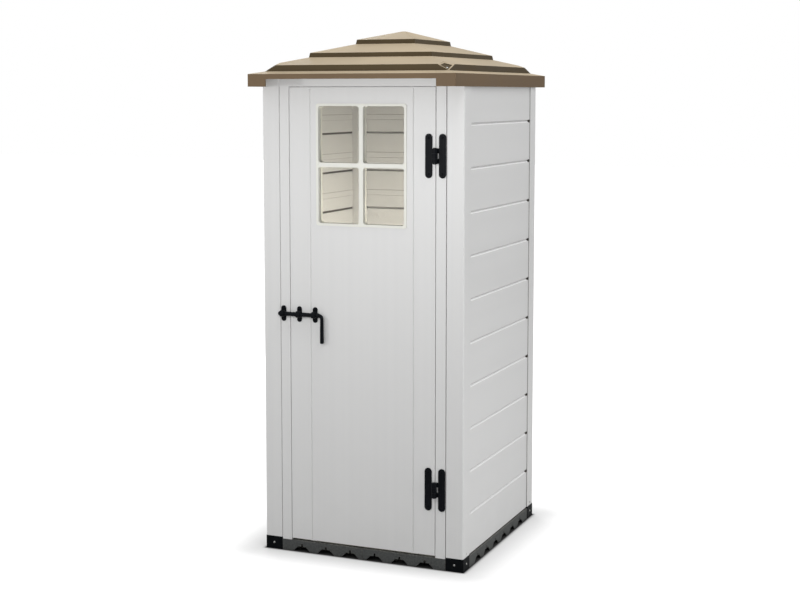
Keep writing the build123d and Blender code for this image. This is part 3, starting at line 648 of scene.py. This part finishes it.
@functools.cache
def screws_tree():
    """Domed screws with a cross recess, one on each point, along its facing."""
    inputs = {
        "Places": "Geometry",
        "Head Radius": "Float",
        "Head Height": "Float",
        "Recess Length": "Float",
        "Recess Width": "Float",
        "Recess Depth": "Float",
        "Shank Radius": "Float",
        "Shank Length": "Float",
        "Seed": "Int",
        "Material": "Material",
    }
    tree, entry, leave = new_group("Screws", "GeometryNodeTree", inputs, {"Screws": "Geometry"})

    def vector(x=0.0, y=0.0, z=0.0):
        return put(tree, "ShaderNodeCombineXYZ", {"X": x, "Y": y, "Z": z}).outputs[0]

    def moved(shape, place):
        return put(tree, "GeometryNodeTransform", {"Geometry": shape, "Translation": place}).outputs[0]

    radius = entry["Head Radius"]
    height = entry["Head Height"]
    ball = put(tree, "GeometryNodeMeshUVSphere", {"Segments": 24, "Rings": 12, "Radius": 1.0}).outputs[0]
    dome = put(tree, "GeometryNodeTransform", {"Geometry": ball, "Scale": vector(radius, radius, height)})
    block = math_node(tree, "MULTIPLY", radius, 4.0)
    below = put(tree, "GeometryNodeMeshCube", {"Size": vector(block, block, block)}).outputs[0]
    below = moved(below, vector(z=math_node(tree, "MULTIPLY", block, -0.5)))
    long_bar = vector(entry["Recess Length"], entry["Recess Width"], entry["Recess Depth"])
    cross_bar = vector(entry["Recess Width"], entry["Recess Length"], entry["Recess Depth"])
    sunk = math_node(tree, "MULTIPLY", entry["Recess Depth"], 0.35)
    recess_place = vector(z=math_node(tree, "SUBTRACT", height, sunk))
    cuts = [below]
    for bar in (long_bar, cross_bar):
        cuts.append(moved(put(tree, "GeometryNodeMeshCube", {"Size": bar}).outputs[0], recess_place))
    head = put(tree, "GeometryNodeMeshBoolean", {"Mesh 1": dome.outputs[0]}, operation="DIFFERENCE")
    for cut in cuts:
        tree.links.new(cut, head.inputs["Mesh 2"])
    shank_size = {"Vertices": 12, "Radius": entry["Shank Radius"], "Depth": entry["Shank Length"]}
    shank = put(tree, "GeometryNodeMeshCylinder", shank_size).outputs[0]
    shank = moved(shank, vector(z=math_node(tree, "MULTIPLY", entry["Shank Length"], -0.5)))
    screw = put(tree, "GeometryNodeJoinGeometry")
    tree.links.new(head.outputs[0], screw.inputs[0])
    tree.links.new(shank, screw.inputs[0])
    facing = put(tree, "GeometryNodeInputNamedAttribute", {"Name": "facing"}, data_type="FLOAT_VECTOR")
    half_turn = {1: (0.0, 0.0, math.pi), "Seed": entry["Seed"]}
    spin = put(tree, "FunctionNodeRandomValue", half_turn, data_type="FLOAT_VECTOR")
    twist = put(tree, "FunctionNodeEulerToRotation", {0: spin.outputs[0]}).outputs[0]
    turn = {"Rotation": twist, "Vector": facing.outputs[0]}
    aim = put(tree, "FunctionNodeAlignRotationToVector", turn, axis="Z").outputs[0]
    planting = {"Points": entry["Places"], "Instance": screw.outputs[0], "Rotation": aim}
    planted = put(tree, "GeometryNodeInstanceOnPoints", planting).outputs[0]
    real = put(tree, "GeometryNodeRealizeInstances", {0: planted}).outputs[0]
    finished = put(tree, "GeometryNodeSetMaterial", {"Geometry": real, "Material": entry["Material"]})
    tree.links.new(finished.outputs[0], leave.inputs[0])
    return tree


def islands(mesh):
    """The separate shapes of a mesh, as lists of faces."""
    left = set(mesh.faces)
    while left:
        grown = [left.pop()]
        for face in grown:
            near = {other for edge in face.edges for other in edge.link_faces} & left
            left -= near
            grown.extend(near)
        yield grown


def head_top(island):
    """The flat top of a screw's head: the widest face that has the whole screw behind it."""
    points = {vertex for face in island for vertex in face.verts}

    def weight(face):
        depths = [face.normal.dot(face.verts[0].co - point.co) for point in points]
        return face.calc_area() * max(depths) if min(depths) > -level_gap / 2 else 0.0

    return max(island, key=weight)


def screw_places(node, head_height):
    """The seat and facing of each screw in a node."""
    mesh = joined_mesh(node)
    tops = [head_top(island) for island in islands(mesh)]
    tops.sort(key=lambda face: tuple(round(part, 4) for part in face.calc_center_median()))
    facings = [top.normal.copy() for top in tops]
    seats = [top.calc_center_median() - top.normal * head_height for top in tops]
    mesh.free()
    return seats, facings


def board_outline(thickness, pitch, detail):
    """Corners of a tongue-and-groove board: X is its thickness, inner face at 0, and Y its height."""
    middle = thickness / 2
    tongue = detail.tongue_width / 2
    groove = tongue + detail.tongue_fit
    groove_top = detail.tongue_height + detail.tongue_fit
    lines = []
    for height, width, depth in (
        (detail.inner_line, detail.inner_line_width, detail.inner_line_depth),
        (detail.score, detail.score_width, detail.score_depth),
    ):
        low = height - width / 2
        high = height + width / 2
        lines += [(0.0, high), (depth, high), (depth, low), (0.0, low)]
    return [
        (0.0, detail.tongue_fit),
        (middle - groove, detail.tongue_fit),
        (middle - groove, groove_top),
        (middle + groove, groove_top),
        (middle + groove, 0.0),
        (thickness - detail.board_bevel, 0.0),
        (thickness, detail.board_bevel),
        (thickness, pitch - detail.board_bevel),
        (thickness - detail.board_bevel, pitch),
        (middle + tongue, pitch),
        (middle + tongue, pitch + detail.tongue_height),
        (middle - tongue, pitch + detail.tongue_height),
        (middle - tongue, pitch),
        (0.0, pitch),
        *lines,
    ]


def mark_lines(mesh, detail, shadow_share):
    """Mark painted shadow in the lines of the inner faces of a stack of boards and on the downward slopes
    along their outer edges, and a painted highlight on the upward slopes.
    """
    line = mesh.attributes.new("line", "FLOAT", "FACE")
    crest = mesh.attributes.new("crest", "FLOAT", "FACE")
    for face in mesh.polygons:
        deepest = max(mesh.vertices[number].co.x for number in face.vertices)
        sunk = face.center.x > detail.board_round / 2
        slope = face.normal.z if face.normal.x > slope_least else 0.0
        if sunk and deepest < detail.inner_line_depth + level_gap / 2:
            line.data[face.index].value = shadow_share if deepest > 2 * detail.score_depth else score_shadow
        if slope > slope_least:
            crest.data[face.index].value = 1.0
        if slope < -slope_least:
            line.data[face.index].value = groove_shadow


def shade_line_ends(mesh, start):
    """Paint shadow on the far ends of the outer grooves, where they run into a back post, and take the
    painted highlight off them there.
    """
    shape = bmesh.new()
    shape.from_mesh(mesh)
    geometry = [*shape.verts, *shape.edges, *shape.faces]
    bmesh.ops.bisect_plane(shape, geom=geometry, plane_co=(0.0, start, 0.0), plane_no=(0.0, 1.0, 0.0))
    line = shape.faces.layers.float["line"]
    crest = shape.faces.layers.float["crest"]
    for face in shape.faces:
        centre = face.calc_center_median()
        sloping = slope_least < abs(face.normal.z) < flat_least
        if sloping and face.normal.x * centre.x > 0 and centre.y > start:
            face[line] = 1.0
            face[crest] = 0.0
    shape.to_mesh(mesh)
    shape.free()


class SHED_OT_walls(bpy.types.Operator):
    """Stack the rounded boards of the three walls and finish their cap rails"""

    bl_idname = "shed.walls"
    bl_label = "Walls"

    def execute(self, context):
        detail = context.scene.shed_detail
        turns = {"right": 0.0, "back": math.pi / 2, "left": math.pi}
        for wall in wall_names:
            node = f"{wall}_wall_boards"
            low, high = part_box(node)
            across, along = (1, 0) if wall == "back" else (0, 1)
            thickness = high[across] - low[across]
            inner_face = min(abs(low[across]), abs(high[across]))
            pitch = (high.z - low.z - detail.tongue_height) / detail.board_count
            corners = [(x, y, 0.0) for x, y in board_outline(thickness, pitch, detail)]
            edges = [(number, (number + 1) % len(corners)) for number in range(len(corners))]
            outline = bpy.data.meshes.new(node)
            outline.from_pydata(corners, edges, [])
            piece = link(f"{wall}_boards", outline)
            material = wall_material("XY"[along])
            values = {
                "Length": high[along] - low[along],
                "Count": detail.board_count,
                "Pitch": pitch,
                "Round": detail.board_round,
                "Material": material,
            }
            set_inputs(piece, boards_tree(), values)
            mark_lines(bake(piece), detail, detail.back_shadow if wall == "back" else 1.0)
            place = Matrix.Rotation(turns[wall], 4, "Z") @ Matrix.Translation((inner_face, 0.0, low.z))
            piece.data.transform(place)
            if wall != "back":
                # Painted shadow at the back ends of the outer grooves.
                shade_line_ends(piece.data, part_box("corner_post_back_right")[0].y - detail.line_end)
            smooth(piece)
            settle(piece, body_of(node), "wall_white", material, node)
            paint(f"{wall}_top_rail", material)
        return {"FINISHED"}


def mark_lips(mesh, low, high, lip_reach):
    """Mark painted shadow on the narrow faces of a post where it grips the boards."""
    line = mesh.attributes.new("line", "FLOAT", "FACE")
    middle = (low + high) / 2
    for face in mesh.polygons:
        for axis, other in ((0, 1), (1, 0)):
            outer = high[axis] if middle[axis] > 0 else low[axis]
            inward = -face.normal[other] * math.copysign(1.0, middle[other])
            if inward > flat_least and abs(face.center[axis] - outer) < lip_reach:
                line.data[face.index].value = lip_shadow


class SHED_OT_posts(bpy.types.Operator):
    """Finish the posts, the jambs and the header"""

    bl_idname = "shed.posts"
    bl_label = "Posts and door frame"

    def execute(self, context):
        detail = context.scene.shed_detail
        for corner in corner_names:
            node = f"corner_post_{corner}"
            on_end = on_side(node, 1, int("back" in corner))
            on_flank = on_side(node, 0, int("right" in corner))
            piece = rounded_copy(node, detail.post_round, lambda face: on_end(face) or on_flank(face), True)
            mark_lips(piece.data, *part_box(node), detail.lip_reach)
            settle(piece, body_of(node), "wall_white", wall_material("Z"), node)
        for node in ("hinge_jamb", "latch_jamb"):
            paint(node, wall_material("Z"))
        paint("door_header", wall_material("X"))
        return {"FINISHED"}


class SHED_OT_door(bpy.types.Operator):
    """Round the door panels along their joints and finish the caps and strips"""

    bl_idname = "shed.door"
    bl_label = "Door"

    def execute(self, context):
        detail = context.scene.shed_detail
        for node in ("door_hinge_stile", "door_centre_panel", "door_latch_stile"):
            front = on_side(node, 1, 0)
            back = on_side(node, 1, 1)
            piece = rounded_copy(node, detail.door_round, lambda face: front(face) or back(face))
            settle(piece, body_of(node), "wall_white", wall_material("Z"), node)
        for node in ("door_joint_strips", "door_top_cap", "door_bottom_cap"):
            paint(node, wall_material("Z"))
        return {"FINISHED"}


class SHED_OT_window(bpy.types.Operator):
    """Round the window frames and glaze them"""

    bl_idname = "shed.window"
    bl_label = "Window"

    def execute(self, context):
        for node, end in (("window_outer_frame", 0), ("window_inner_frame", 1)):
            outward = 2 * end - 1
            piece = rounded_copy(
                node,
                context.scene.shed_detail.window_round,
                lambda face: face.normal.y * outward > 0.99,
            )
            settle(piece, body_of(node), "window_cream", cream_material(), node)
        paint("window_pane", pane_material())
        return {"FINISHED"}


class SHED_OT_roof(bpy.types.Operator):
    """Round the moulded edges of the four roof panels"""

    bl_idname = "shed.roof"
    bl_label = "Roof"

    def execute(self, context):
        rounding = context.scene.shed_detail.roof_round
        true_play = 0.02
        down_most = 0.1
        outwards = {"front": (0, -1), "back": (0, 1), "left": (-1, 0), "right": (1, 0)}
        for side, (out_x, out_y) in outwards.items():
            node = f"roof_{side}_panel"

            def outer(face):
                """Faces that look out or up, and not along the hips or down."""
                out = face.normal.x * out_x + face.normal.y * out_y
                aside = face.normal.x * out_y + face.normal.y * out_x
                return abs(aside) < true_play and out > -true_play and face.normal.z > -down_most

            piece = rounded_copy(node, rounding, outer, both=True, steps=3, least_angle=math.radians(8))
            settle(piece, body_of(node), "roof_taupe", roof_material(), node)
        # The hip clips take the shaded copy of the roof: painted shade on all their faces.
        paint("roof_hip_clips", roof_material(in_shade=True))
        return {"FINISHED"}


class SHED_OT_base(bpy.types.Operator):
    """Round the outer edges of the floor tiles and the boots"""

    bl_idname = "shed.base"
    bl_label = "Floor and boots"

    def execute(self, context):
        detail = context.scene.shed_detail
        kinds = (
            ("floor_tile", detail.tile_round, floor_material(), "floor_grey"),
            ("corner_boot", detail.boot_round, boot_material(), "boot_black"),
        )
        for kind, radius, material, slot in kinds:
            for corner in corner_names:
                node = f"{kind}_{corner}"
                on_end = on_side(node, 1, int("back" in corner))
                on_flank = on_side(node, 0, int("right" in corner))
                piece = rounded_copy(node, radius, lambda face: on_end(face) or on_flank(face))
                settle(piece, body_of(node), slot, material, node)
        return {"FINISHED"}


def fatten_grip(mesh, low, high, growth):
    """Swell the drop of the bolt's handle towards its tip."""
    drop = high.z - low.z
    tip_share = 0.05
    swell_start = 0.2
    swell_reach = 0.15
    tip = [vertex.co for vertex in mesh.vertices if vertex.co.z < low.z + tip_share * drop]
    axis_x = sum(place.x for place in tip) / len(tip)
    axis_y = sum(place.y for place in tip) / len(tip)
    for vertex in mesh.vertices:
        down = (high.z - vertex.co.z) / drop
        started = min(max((down - swell_start) / swell_reach, 0.0), 1.0)
        swell = 1.0 + growth * started * (1.0 + down) / 2
        vertex.co.x = axis_x + (vertex.co.x - axis_x) * swell
        vertex.co.y = axis_y + (vertex.co.y - axis_y) * swell


class SHED_OT_fittings(bpy.types.Operator):
    """Round the hinges and the bolt"""

    bl_idname = "shed.fittings"
    bl_label = "Hinges and bolt"

    def execute(self, context):
        radius = context.scene.shed_detail.fitting_round
        nodes = []
        for place in ("lower", "upper"):
            nodes += [f"{place}_hinge_{part}" for part in ("frame_leaf", "door_leaf", "pin")]
        nodes += ["bolt_keeper", "bolt_outer_guide", "bolt_inner_guide", "bolt_rod", "bolt_handle"]
        for node in nodes:
            piece = rounded_copy(node, radius, least_angle=math.radians(40))
            if node == "bolt_handle":
                fatten_grip(piece.data, *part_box(node), context.scene.shed_detail.grip_growth)
            settle(piece, body_of(node), "fitting_black", fitting_material(), node)
        return {"FINISHED"}


class SHED_OT_screws(bpy.types.Operator):
    """Plant a cross-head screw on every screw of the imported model"""

    bl_idname = "shed.screws"
    bl_label = "Screws"

    def execute(self, context):
        detail = context.scene.shed_detail
        bright = ("boot_screws", "post_screws", "roof_hip_screws")
        dark = ("hinge_frame_screws", "hinge_door_screws", "bolt_keeper_screws", "bolt_guide_screws")
        for seed, node in enumerate(bright + dark):
            material = steel_material() if node in bright else fitting_material()
            seats, facings = screw_places(node, detail.head_height)
            points = bpy.data.meshes.new(node)
            points.from_pydata(seats, [], [])
            facing = points.attributes.new("facing", "FLOAT_VECTOR", "POINT")
            facing.data.foreach_set("vector", [part for vector in facings for part in vector])
            piece = link(f"{node}_cross_head", points)
            values = {
                "Head Radius": detail.head_radius,
                "Head Height": detail.head_height,
                "Recess Length": detail.recess_length,
                "Recess Width": detail.recess_width,
                "Recess Depth": detail.recess_depth,
                "Shank Radius": detail.shank_radius,
                "Shank Length": detail.shank_length,
                "Seed": seed,
                "Material": material,
            }
            set_inputs(piece, screws_tree(), values)
            bake(piece)
            smooth(piece)
            slot = "screw_steel" if node in bright else "fitting_black"
            settle(piece, body_of(node), slot, material, node)
        return {"FINISHED"}


def seen_by_eye(tree):
    """1 for rays from the camera and through glass, else 0."""
    path = put(tree, "ShaderNodeLightPath").outputs
    return math_node(tree, "MAXIMUM", path["Is Camera Ray"], path["Is Transmission Ray"])


# Rings round the shed's footprint: where each starts and ends, and the glow that it adds to the floor.
glow_rings = ((0.0, 0.02, 0.3), (0.0, 0.25, 0.45), (0.5, 2.5, 0.25))
floor_edge = 0.01
# Painted shade: the floor's tone under the shed's footprint.
floor_shadow_tone = 0.06
floor_tone = 0.55


def stage_material(footprint):
    """Pale floor, painted dark as shade under the shed, that turns white to the eye with the distance from
    its footprint.
    """
    material = bpy.data.materials.new("stage_white")
    material.use_nodes = True
    tree = material.node_tree
    tree.nodes.clear()
    place = put(tree, "ShaderNodeTexCoord").outputs["Object"]
    away = put(tree, "ShaderNodeVectorMath", {0: place}, operation="ABSOLUTE").outputs[0]
    away = put(tree, "ShaderNodeVectorMath", {0: away, 1: footprint}, operation="SUBTRACT").outputs[0]
    away = put(tree, "ShaderNodeVectorMath", {0: away, 1: (0.0, 0.0, 0.0)}, operation="MAXIMUM").outputs[0]
    distance = put(tree, "ShaderNodeVectorMath", {0: away}, operation="LENGTH").outputs["Value"]
    glowing = 0.0
    for start, end, gain in glow_rings:
        glowing = math_node(tree, "ADD", glowing, remap(tree, distance, start, end, 0.0, gain))
    tone = remap(tree, distance, 0.0, floor_edge, floor_shadow_tone, floor_tone)
    grey = put(tree, "ShaderNodeCombineColor", {"Red": tone, "Green": tone, "Blue": tone}).outputs[0]
    plain = put(tree, "ShaderNodeBsdfDiffuse", {"Color": grey}).outputs[0]
    glow = put(tree, "ShaderNodeEmission", {"Color": (1.0, 1.0, 1.0, 1.0), "Strength": glowing}).outputs[0]
    white = put(tree, "ShaderNodeAddShader", {0: plain, 1: glow}).outputs[0]
    mixed = put(tree, "ShaderNodeMixShader", {0: seen_by_eye(tree), 1: plain, 2: white}).outputs[0]
    put(tree, "ShaderNodeOutputMaterial", {"Surface": mixed})
    return material


def light_world(strength):
    """A white surround for the eye, and a softer one that lights the shed."""
    world = bpy.data.worlds.new("studio")
    world.use_nodes = True
    tree = world.node_tree
    tree.nodes.clear()
    soft = put(tree, "ShaderNodeBackground", {"Color": (1.0, 1.0, 1.0, 1.0), "Strength": strength}).outputs[0]
    white = put(tree, "ShaderNodeBackground", {"Color": (1.0, 1.0, 1.0, 1.0), "Strength": 1.0}).outputs[0]
    mixed = put(tree, "ShaderNodeMixShader", {0: seen_by_eye(tree), 1: soft, 2: white}).outputs[0]
    put(tree, "ShaderNodeOutputWorld", {"Surface": mixed})
    bpy.context.scene.world = world


# Place, target, width and height of each lamp. The inner one hangs beside the right wall and faces left.
lamp_plan = {
    "front": ((0.13, -1.7, 1.56), (0.1, -0.4, 1.85), 0.9, 0.5),
    "key": ((-2.1, -2.4, 1.7), (0.0, -0.4, 1.2), 0.25, 0.25),
    "top": ((1.25, -0.6, 5.1), (0.0, 0.0, 1.6), 2.4, 2.4),
    "side": ((2.6, -0.7, 0.5), (0.4, -0.1, 0.5), 0.8, 0.8),
    "high": ((4.2, 0.2, 4.2), (0.4, 0.0, 1.0), 1.0, 1.0),
    "back": ((-2.6, 3.2, 2.4), (-0.1, 0.2, 1.0), 2.0, 2.0),
    "inner": ((0.33, -0.13, 0.74), (-0.38, -0.13, 0.74), 0.4, 1.2),
}


def area_lamp(name, power, place, target, width, height):
    """A soft rectangular lamp that shines on a target and isn't seen itself."""
    data = bpy.data.lights.new(name, "AREA")
    data.energy = power
    data.shape = "RECTANGLE"
    data.size = width
    data.size_y = height
    lamp = bpy.data.objects.new(name, data)
    lamp.location = place
    lamp.rotation_euler = (Vector(target) - Vector(place)).to_track_quat("-Z", "Y").to_euler()
    lamp.visible_camera = False
    lamp.visible_transmission = False
    bpy.context.scene.collection.objects.link(lamp)


class SHED_OT_stage(bpy.types.Operator):
    """Set up the floor, the lamps and the camera"""

    bl_idname = "shed.stage"
    bl_label = "Stage"

    def execute(self, context):
        stage = context.scene.shed_stage
        reach = stage.floor_reach
        floor_mesh = bpy.data.meshes.new("stage_floor")
        turns = ((-1, -1), (1, -1), (1, 1), (-1, 1))
        corners = [(x * reach, y * reach, cad_box[0].z) for x, y in turns]
        floor_mesh.from_pydata(corners, [], [(0, 1, 2, 3)])
        floor_mesh.materials.append(stage_material((*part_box("corner_boot_back_right")[1].xy, 0.0)))
        link("stage_floor", floor_mesh)
        light_world(stage.sky)
        for name, (place, target, width, height) in lamp_plan.items():
            area_lamp(f"{name}_lamp", getattr(stage, name), place, target, width, height)
        bpy.data.lights["inner_lamp"].color = stage.inner_tint[:3]
        camera_data = bpy.data.cameras.new("camera")
        camera_data.lens = stage.lens
        camera_data.shift_y = stage.shift
        camera = bpy.data.objects.new("camera", camera_data)
        camera.location = stage.place
        camera.rotation_euler = (math.pi / 2 - stage.tilt, 0.0, stage.turn)
        context.scene.collection.objects.link(camera)
        context.scene.camera = camera
        context.scene.view_settings.view_transform = "Standard"
        return {"FINISHED"}


operators = (
    SHED_OT_walls,
    SHED_OT_posts,
    SHED_OT_door,
    SHED_OT_window,
    SHED_OT_roof,
    SHED_OT_base,
    SHED_OT_fittings,
    SHED_OT_screws,
    SHED_OT_stage,
)


class SHED_PT_panel(bpy.types.Panel):
    """Lists the shed's pieces, colours and sizes"""

    bl_idname = "SHED_PT_panel"
    bl_label = "Garden shed"
    bl_space_type = "VIEW_3D"
    bl_region_type = "UI"
    bl_category = "Shed"

    def draw(self, context):
        for operator in operators:
            self.layout.operator(operator.bl_idname)
        for group in (context.scene.shed_finish, context.scene.shed_detail, context.scene.shed_stage):
            box = self.layout.box()
            for name in group.__annotations__:
                box.prop(group, name)


groups = {"shed_finish": ShedFinish, "shed_detail": ShedDetail, "shed_stage": ShedStage}


def register():
    """Register the classes and put the properties on the scene."""
    for item in (*groups.values(), *operators, SHED_PT_panel):
        bpy.utils.register_class(item)
    for name, group in groups.items():
        setattr(bpy.types.Scene, name, PointerProperty(type=group))


def unregister():
    """Take the properties and the classes away."""
    for name in groups:
        delattr(bpy.types.Scene, name)
    for item in (SHED_PT_panel, *reversed(operators), *groups.values()):
        bpy.utils.unregister_class(item)


def main():
    """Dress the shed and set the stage."""
    register()
    bpy.ops.shed.walls()
    bpy.ops.shed.posts()
    bpy.ops.shed.door()
    bpy.ops.shed.window()
    bpy.ops.shed.roof()
    bpy.ops.shed.base()
    bpy.ops.shed.fittings()
    bpy.ops.shed.screws()
    bpy.ops.shed.stage()


if __name__ == "__main__":
    main()
